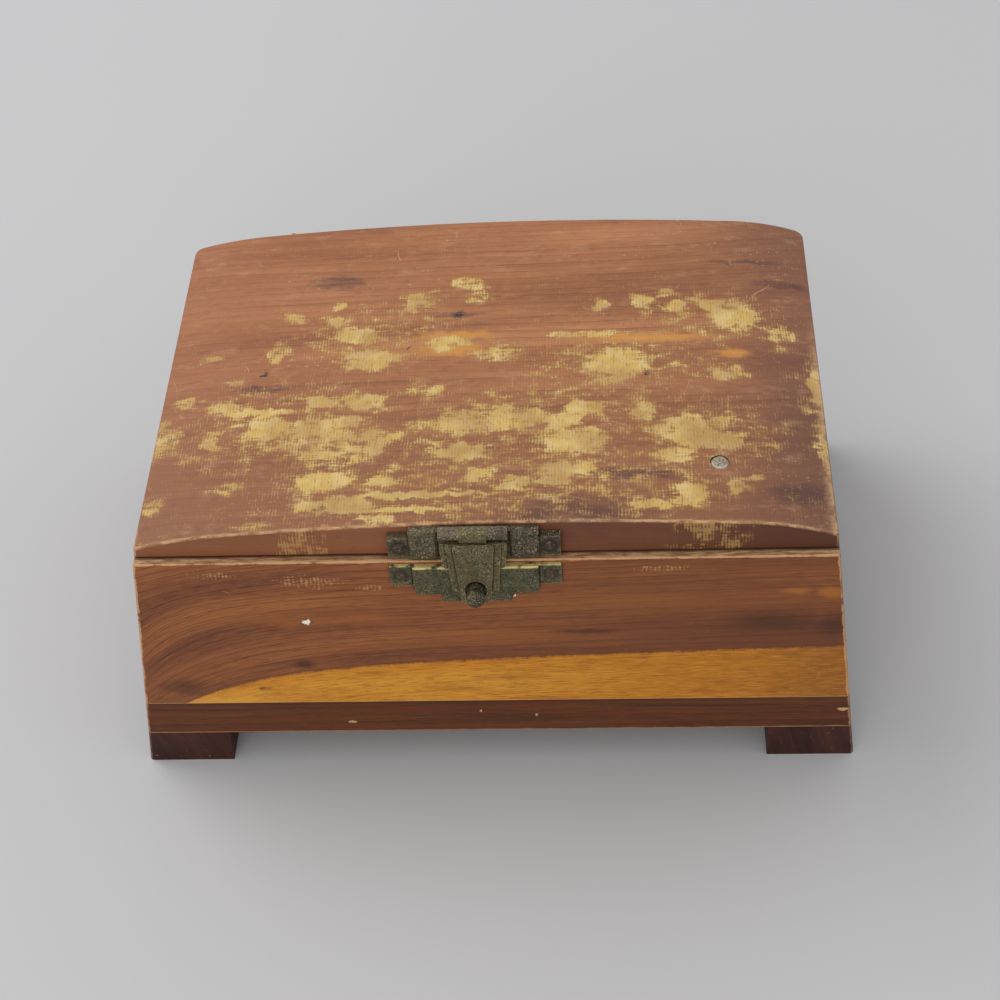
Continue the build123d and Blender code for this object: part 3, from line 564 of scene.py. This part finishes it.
def front_wear(t, surface, flat, drawn, ridges):
    """Lay rubbed dashes, dull places, two spots of old paint and scratches over the front board.

    Gives the new colour, how rubbed the wood is, and how far inside the paint a place lies.
    """
    dash = t.plus(t.sway(t.stretch(flat, 0.5, 2.4), 0.5, 1.0, 3.0), t.times(ridges["Ridges"], 0.3))
    rub = patches(t, drawn, front_rubs)
    rubbed = t.fade(t.plus(dash, t.times(t.math("MINIMUM", rub, 0.5), 0.5)), 0.2, 0.42)
    rubbed = t.times(rubbed, t.fade(rub, -0.1, 0.2))
    dashes = t.times(t.fade(dash, 0.42, 0.6), t.fade(t.noise(flat, 0.07), 0.46, 0.6, 0.0, 0.5))
    surface = t.blend(t.times(t.larger(rubbed, dashes), 0.55), surface, colour(200, 152, 106))
    dull = t.fade(t.noise(t.stretch(flat, 0.4), 0.3, 5.0, 0.7), 0.55, 0.72, 0.0, 0.25)
    surface = t.blend(dull, surface, colour(86, 52, 38))
    torn = t.shift(flat, t.sway(flat, 1.2, 1.0, 4.0), t.sway(t.shift(flat, 5.0), 1.0, 1.0, 4.0))
    paint = patches(t, torn, front_paint_spots)
    surface = t.blend(t.fade(paint, -0.5, -0.1, 0.0, 0.5), surface, colour(70, 44, 30))
    surface = t.blend(t.fade(paint, 0.0, 0.2), surface, colour(232, 222, 200))
    surface = t.blend(t.times(scratched(t, flat, 0.35), 0.5), surface, colour(214, 166, 120))
    return surface, rubbed, paint


def rim_strip(t, x, depth):
    """The colour of the bare strip along the rim ahead of the lid, with painted shade where the lid meets
    it.
    """
    worn = t.noise(t.join(t.times(x, 0.25), t.times(depth, 1.6)), 1.0, 4.0, 0.65)
    strip = t.blend(t.fade(worn, 0.36, 0.64), colour(130, 88, 60), colour(184, 148, 110))
    inward = t.minus(depth, front_low.y)
    # Painted shade on the strip close to the lid's front face
    return t.blend(t.fade(inward, rim_lip - 0.8, rim_lip, 0.0, 0.75), strip, colour(74, 46, 32))


def cedar_front_material():
    made, t, shader, place = new_material("cedar_front_oiled")
    x, depth, z = t.split(place)
    grain = t.group(
        GRAIN,
        {
            "Place": t.join(x, z, depth),
            "Spacing": 1.8,
            "Left bend": t.fade(z, 24.0, 60.0, 10.2, 4.0),
            "Half length": 62.5,
            "Bend length": 18.3,
            "Tilt": -0.034,
            "Drift": 1.6,
            "Seed": 1.3,
        },
    )
    flat = t.join(x, z)
    drawn = drawn_along(t, flat, grain, 4.0, 0.9, 2.0)
    wood = front_heartwood(t, x, grain, drawn)

    # Sapwood lies below a boundary that is combed up and down
    waved = t.sway(t.stretch(flat, 0.25, 0.9), 0.5)
    combed = t.sway(t.stretch(flat, 1.6, 0.2), 0.5)
    sapwood = t.fade(t.plus(grain["Across"], waved, combed), 31.3, 32.3, 1.0, 0.0)
    surface = t.blend(sapwood, wood, front_sapwood(t, x, z, flat, grain))
    gold = t.fade(patches(t, drawn, front_gold_streaks), 0.0, 0.7, 0.0, 0.6)
    surface = t.blend(gold, surface, colour(170, 106, 42))
    knots = t.fade(patches(t, drawn, front_knots), 0.0, 0.8, 0.0, 0.75)
    surface = t.blend(knots, surface, colour(66, 42, 28))

    ridges = t.group(PLANER, {"Place": flat, "Pitch": 0.8})
    surface, rubbed, paint = front_wear(t, surface, flat, drawn, ridges)

    # The rim's bare strip and the edges
    on_rim = t.fade(t.upward(), 0.5, 0.8)
    surface = t.blend(on_rim, surface, rim_strip(t, x, depth))
    rounded = t.times(edge_wear(t, place, 1.2, 0.4), 0.75)
    lower = t.fade(t.plus(z, t.sway(flat, 0.15, 0.5)), front_low.z + 0.12, front_low.z + 0.3, 0.45, 0.0)
    surface = t.blend(t.larger(rounded, lower), surface, colour(196, 150, 106))
    # Dirt and painted shade where another piece lies close
    surface = seam_dirt_and_shade(t, surface)
    relief = t.plus(t.times(grain["Fibres"], 0.4), t.times(ridges["Height"], 0.12), t.times(paint, 0.1))
    fibre_roughness = t.fade(grain["Fibres"], 0.2, 0.8, 0.38, 0.5)
    roughness = t.plus(fibre_roughness, t.times(t.larger(rubbed, on_rim), 0.3))
    finish_surface(t, shader, surface, roughness, relief)
    return made


def cedar_side_material(name, seed, turned=False):
    """The back and the ends: the same cedar without sapwood. Turned runs its grain along y."""
    made, t, shader, place = new_material(name)
    x, y, z = t.split(place)
    level = t.fade(t.math("ABSOLUTE", t.upward()), 0.6, 0.9)
    along, through = (y, x) if turned else (x, y)
    board = t.join(along, t.plus(z, t.times(through, level)), through)
    values = {"Place": board, "Right bend": 5.0, "Bend length": 18.0, "Tilt": 0.02, "Seed": seed}
    grain = t.group(GRAIN, values)
    surface = wood_colours(t, grain, case_cedar, 0.8, 0.4)
    dull = t.fade(t.noise(t.stretch(board, 0.4), 0.3, 5.0, 0.7), 0.52, 0.72, 0.0, 0.35)
    surface = t.blend(dull, surface, colour(86, 52, 38))
    surface = t.blend(t.times(level, 0.4), surface, colour(150, 106, 72))
    mark = t.times(scratched(t, t.stretch(board, 1.0, 1.0, 0.0), 0.3), 0.5)
    rounded = t.times(edge_wear(t, place, 1.2, 0.4), 0.7)
    surface = t.blend(t.larger(rounded, mark), surface, colour(198, 152, 108))
    roughness = t.fade(grain["Fibres"], 0.2, 0.8, 0.38, 0.52)
    finish_surface(t, shader, surface, roughness, t.times(grain["Fibres"], 0.4))
    return made


def cedar_bottom_material():
    made, t, shader, place = new_material("cedar_bottom_stained")
    x, y, z = t.split(place)
    level = t.fade(t.math("ABSOLUTE", t.upward()), 0.6, 0.9, 0.05, 1.0)
    board = t.join(x, t.plus(z, t.times(y, level)))
    grain = t.group(GRAIN, {"Place": board, "Spacing": 2.6, "Tilt": -0.02, "Seed": 7.7})
    surface = wood_colours(t, grain, bottom_cedar, 0.5, 0.5)
    red = t.fade(t.noise(t.stretch(board, 0.03, 0.5), 1.0, 3.0), 0.5, 0.66, 0.0, 0.45)
    surface = t.blend(red, surface, colour(108, 44, 26))
    dark = t.fade(t.noise(t.stretch(board, 0.02, 0.4), 1.0, 3.0), 0.52, 0.68, 0.0, 0.5)
    surface = t.blend(dark, surface, colour(52, 30, 22))
    surface = t.blend(t.fade(z, bottom_high.z - 1.6, bottom_high.z, 0.0, 0.5), surface, colour(66, 38, 26))
    worn = t.plus(z, t.sway(t.stretch(place, 0.3, 0.3), 0.3, 1.0, 3.0))
    lower = t.fade(worn, bottom_low.z + 0.1, bottom_low.z + 0.35, 0.5, 0.0)
    torn = t.shift(t.join(x, z), t.sway(place, 0.6, 1.0), t.sway(t.shift(place, 3.0), 0.5, 1.0))
    chip = t.fade(patches(t, torn, bottom_chips), 0.0, 0.3)
    rounded = t.times(edge_wear(t, place, 0.9, 0.6), 0.5)
    surface = t.blend(t.larger(rounded, lower, chip), surface, colour(190, 146, 106))
    roughness = t.fade(grain["Fibres"], 0.2, 0.8, 0.42, 0.55)
    finish_surface(t, shader, surface, roughness, t.times(grain["Fibres"], 0.4))
    return made


def cedar_feet_material():
    made, t, shader, place = new_material("cedar_feet_stained")
    x, y, z = t.split(place)
    board = t.join(y, t.plus(x, t.times(z, 0.3)), z)
    grain = t.group(GRAIN, {"Place": board, "Spacing": 2.0, "Seed": 9.4})
    surface = wood_colours(t, grain, feet_cedar, 0.4, 0.4)
    specks = t.fade(t.noise(place, 0.8, 3.0), 0.66, 0.72, 0.0, 0.5)
    rounded = t.times(edge_wear(t, place, 0.9, 0.6), 0.5)
    surface = t.blend(t.larger(rounded, specks), surface, colour(140, 98, 78))
    roughness = t.fade(grain["Fibres"], 0.2, 0.8, 0.42, 0.58)
    finish_surface(t, shader, surface, roughness, t.times(grain["Fibres"], 0.4))
    return made


def aged_brass_material(name, tint, dark, edges, spots=(), top_edge=None, purple=None, coarse=1.0):
    """Pressed brass under an olive patina, gritty, dark in its corners and bright where it is rubbed.

    Edges says how much its edges are rubbed, and coarse how strong its grit is. Spots are rust
    stains round nails. Top_edge is a height whose edge is rubbed bright. Above the height purple
    the patina turns a purple grey, and right of the hasp's middle it is then dull.
    """
    made, t, shader, place = new_material(name)
    x, z = t.split(place)[::2]
    blotch = t.noise(place, 0.45, 4.0, 0.6)
    grit = t.noise(place, 3.4, 4.0, 0.75)
    gritty = t.fade(t.noise(t.shift(place, 5.0), 0.5, 3.0, 0.6), 0.4, 0.62, 0.25 * coarse, coarse)
    pits = t.noise(t.shift(place, 7.0), 1.6, 5.0, 0.75)
    surface = t.blend(t.fade(blotch, 0.38, 0.62), colour(*tint), colour(104, 94, 66))
    if purple is not None:
        share = t.fade(t.plus(z, t.sway(place, 0.8, 0.9)), purple - 0.3, purple + 0.6, 0.0, 0.75)
        surface = t.blend(share, surface, colour(116, 100, 88))
        dull = t.fade(t.plus(x, t.sway(place, 2.0, 0.5)), latch_x, latch_x + 6.0, 0.0, 0.6)
        surface = t.blend(dull, surface, colour(70, 56, 52))
    green = t.fade(t.noise(t.shift(place, 3.0), 0.8, 4.0, 0.6), 0.5, 0.66, 0.0, 0.45)
    surface = t.blend(green, surface, colour(70, 80, 58))
    surface = t.blend(t.fade(pits, 0.48, 0.62, 0.0, 0.85), surface, colour(*dark))
    surface = t.blend(t.times(t.fade(grit, 0.52, 0.61, 0.0, 0.9), gritty), surface, colour(186, 174, 142))
    surface = t.blend(t.times(t.fade(grit, 0.47, 0.37), gritty), surface, colour(*dark))
    if spots:
        around = patches(t, t.join(x, z), spots)
        rust = t.fade(t.plus(around, t.sway(place, 0.35, 1.6, 3.0)), 0.0, 0.5, 0.0, 0.8)
        surface = t.blend(rust, surface, colour(50, 42, 32))
    # Grime and painted shade: darker where the brass's own surfaces stand close, in its hollows and steps
    shade = t.add("ShaderNodeAmbientOcclusion", only_local=True, samples=5)
    shade.inputs["Distance"].default_value = 0.5 * MM
    grime = t.fade(shade.outputs["AO"], 0.74, 0.97, 1.0, 0.0)
    surface = t.blend(grime, surface, colour(22, 20, 14))
    wear = t.group(BRASS_EDGE, {"Place": place, "Amount": edges})["Wear"]
    if top_edge is not None:
        bright = t.fade(t.plus(z, t.sway(place, 0.2, 0.8, 3.0)), top_edge - 0.5, top_edge - 0.15)
        wear = t.larger(wear, t.times(bright, t.fade(t.noise(place, 0.5, 2.0), 0.34, 0.5)))
    surface = t.blend(t.times(wear, 0.9), surface, colour(222, 204, 134))
    roughness = t.plus(t.fade(pits, 0.3, 0.7, 0.42, 0.65), t.times(wear, -0.12))
    metallic = t.fade(pits, 0.45, 0.62, 0.65, 0.25)
    relief = t.plus(t.times(pits, -1.0), t.times(grit, 0.8))
    finish_surface(t, shader, surface, roughness, relief, 0.22, metallic, 0.4)
    return made


def steel_material(name, clean, rusted, rust=(92, 66, 48)):
    """Dull steel whose rust covers more of it as rusted goes from 0 to 1."""
    made, t, shader, place = new_material(name)
    blotch = t.noise(place, 1.8, 5.0, 0.7)
    share = t.fade(blotch, 0.68 - rusted * 0.5, 0.8 - rusted * 0.5)
    grit = t.fade(t.noise(place, 4.0, 3.0, 0.7), 0.4, 0.62)
    stained = t.blend(grit, colour(*rust), colour(44, 34, 26))
    surface = t.blend(share, colour(*clean), stained)
    metallic = t.fade(share, 0.0, 1.0, 0.85, 0.1)
    roughness = t.fade(share, 0.0, 1.0, 0.36, 0.8)
    finish_surface(t, shader, surface, roughness, blotch, 0.12, metallic, 0.4)
    return made


def tack_material():
    """The tack's domed head: grey steel, brightest on its rim and dull in its middle."""
    made, t, shader, place = new_material("tack_steel_dulled")
    low, high = (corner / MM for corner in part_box("lid_tack"))
    x, y = t.split(t.shift(place, -(low.x + high.x) / 2, -(low.y + high.y) / 2))[:2]
    out = t.math("DIVIDE", t.vector_math("LENGTH", t.join(x, y)), (high.x - low.x) / 2)
    blotch = t.noise(place, 1.6, 5.0, 0.7)
    surface = t.blend(t.fade(blotch, 0.36, 0.6), colour(112, 100, 84), colour(168, 158, 138))
    rim = t.times(t.fade(t.plus(out, t.sway(place, 0.12, 1.2)), 0.72, 0.86), t.fade(out, 1.0, 0.94))
    surface = t.blend(t.times(rim, 0.8), surface, colour(206, 200, 184))
    surface = t.blend(t.fade(out, 0.93, 1.0, 0.0, 0.8), surface, colour(60, 48, 38))
    rust = t.fade(t.noise(t.shift(place, 4.0), 2.2, 4.0, 0.7), 0.56, 0.66, 0.0, 0.7)
    surface = t.blend(rust, surface, colour(92, 72, 52))
    metallic = t.fade(blotch, 0.3, 0.7, 0.35, 0.6)
    roughness = t.fade(rim, 0.0, 1.0, 0.55, 0.4)
    finish_surface(t, shader, surface, roughness, blotch, 0.15, metallic, 0.4)
    return made


def dress(names, material):
    """Give the named nodes one material."""
    for name in names:
        slots = nodes[name].data.materials
        slots.clear()
        slots.append(material)


def nail_spots(name, reach):
    """Round stains about the middles of the two nails of one plate."""
    low, high = (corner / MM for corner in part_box(name))
    radius = (high.z - low.z) / 2
    middle = (low.z + high.z) / 2
    return ((low.x + radius, middle, reach, reach), (high.x - radius, middle, reach, reach))


dress(["lid_board"], cedar_lid_material())
dress(["front_board"], cedar_front_material())
dress(["back_board"], cedar_side_material("cedar_back_oiled", 5.2))
dress(["left_end_board", "right_end_board"], cedar_side_material("cedar_end_oiled", 2.6, True))
dress(["bottom_board"], cedar_bottom_material())
dress(["left_runner", "right_runner"], cedar_feet_material())
dress(
    ["latch_upper_plate"],
    aged_brass_material(
        "upper_plate_brass_aged",
        (88, 78, 56),
        (36, 32, 26),
        0.15,
        nail_spots("latch_upper_nails", 2.6),
        purple=upper_plate_top - 1.6,
    ),
)
dress(["latch_flap"], aged_brass_material("flap_brass_aged", (112, 98, 62), (46, 42, 28), 0.25))
dress(
    ["latch_lower_plate"],
    aged_brass_material(
        "lower_plate_brass_aged",
        (72, 74, 52),
        (40, 44, 30),
        0.3,
        nail_spots("latch_lower_nails", 1.9),
        top_edge=lower_plate_top,
        coarse=0.8,
    ),
)
dress(["latch_stud"], aged_brass_material("stud_brass_aged", (66, 60, 48), (26, 26, 20), 0.1))
dress(["latch_upper_nails"], steel_material("upper_nail_rusty", (120, 114, 100), 0.62, (70, 56, 42)))
dress(["latch_lower_nails"], steel_material("lower_nail_rusty", (128, 112, 90), 0.75, (96, 74, 54)))
dress(["lid_tack"], tack_material())
steel_wires = ["bottom_brads", "left_runner_brads", "right_runner_brads"]
steel_wires += ["latch_hinge_pin", "left_hinge_pin", "right_hinge_pin"]
dress(steel_wires, steel_material("steel_wire_dulled", (120, 116, 110), 0.3))
hinge_brass = aged_brass_material(
    "hinge_brass_aged", (116, 100, 60), (62, 54, 34), 0.45, top_edge=hinge_leaf_top
)
for side in ("left", "right"):
    dress([f"{side}_hinge_body_leaf", f"{side}_hinge_lid_leaf"], hinge_brass)
    dress([f"{side}_hinge_body_nails", f"{side}_hinge_lid_nails"], hinge_brass)


def stage_floor():
    """A plain pale table top."""
    half = 4.0
    mesh = bpy.data.meshes.new("table_top")
    corners = [(-half, -half, 0), (half, -half, 0), (half, half, 0), (-half, half, 0)]
    mesh.from_pydata(corners, [], [(0, 1, 2, 3)])
    floor = bpy.data.objects.new("table_top", mesh)
    bpy.context.scene.collection.objects.link(floor)
    made, t, shader, place = new_material("table_grey")
    base = t.blend(t.noise(place, 0.004, 2.0), colour(186, 186, 187), colour(180, 180, 182))
    finish_surface(t, shader, base, 0.6)
    mesh.materials.append(made)


def soft_light(name, place, power):
    """A round lamp, a metre across, that points at the middle of the box."""
    lamp = bpy.data.lights.new(name, "AREA")
    lamp.shape = "DISK"
    lamp.size = 1.0
    lamp.energy = power
    holder = bpy.data.objects.new(name, lamp)
    holder.location = place
    box_middle = Vector((0, 0, 0.03))
    holder.rotation_euler = (box_middle - Vector(place)).to_track_quat("-Z", "Y").to_euler()
    bpy.context.scene.collection.objects.link(holder)


def make_camera():
    """The photograph's camera. Its axes are worked out from its pitch, yaw and roll."""
    across = math.cos(camera_pitch)
    forward = Vector((math.sin(camera_yaw) * across, math.cos(camera_yaw) * across, -math.sin(camera_pitch)))
    level = Vector((math.cos(camera_yaw), -math.sin(camera_yaw), 0))
    upward = level.cross(forward)
    right = level * math.cos(camera_roll) + upward * math.sin(camera_roll)
    top = upward * math.cos(camera_roll) - level * math.sin(camera_roll)
    data = bpy.data.cameras.new("camera")
    data.lens = camera_lens
    data.sensor_width = camera_sensor
    camera = bpy.data.objects.new("camera", data)
    turned = Matrix((right, top, -forward)).transposed().to_4x4()
    camera.matrix_world = Matrix.Translation(camera_place) @ turned
    bpy.context.scene.collection.objects.link(camera)
    bpy.context.scene.camera = camera


def room_light(strength):
    """An even white light from all around."""
    world = bpy.data.worlds.new("room_light")
    world.use_nodes = True
    background = world.node_tree.nodes["Background"]
    background.inputs["Color"].default_value = (1, 1, 1, 1)
    background.inputs["Strength"].default_value = strength
    bpy.context.scene.world = world


stage_floor()
soft_light("window", place=(-0.7, 0.35, 0.9), power=6.0)
soft_light("room", place=(-0.2, -1.1, 0.7), power=4.4)
room_light(strength=0.78)
make_camera()
bpy.context.scene.view_settings.view_transform = "Standard"
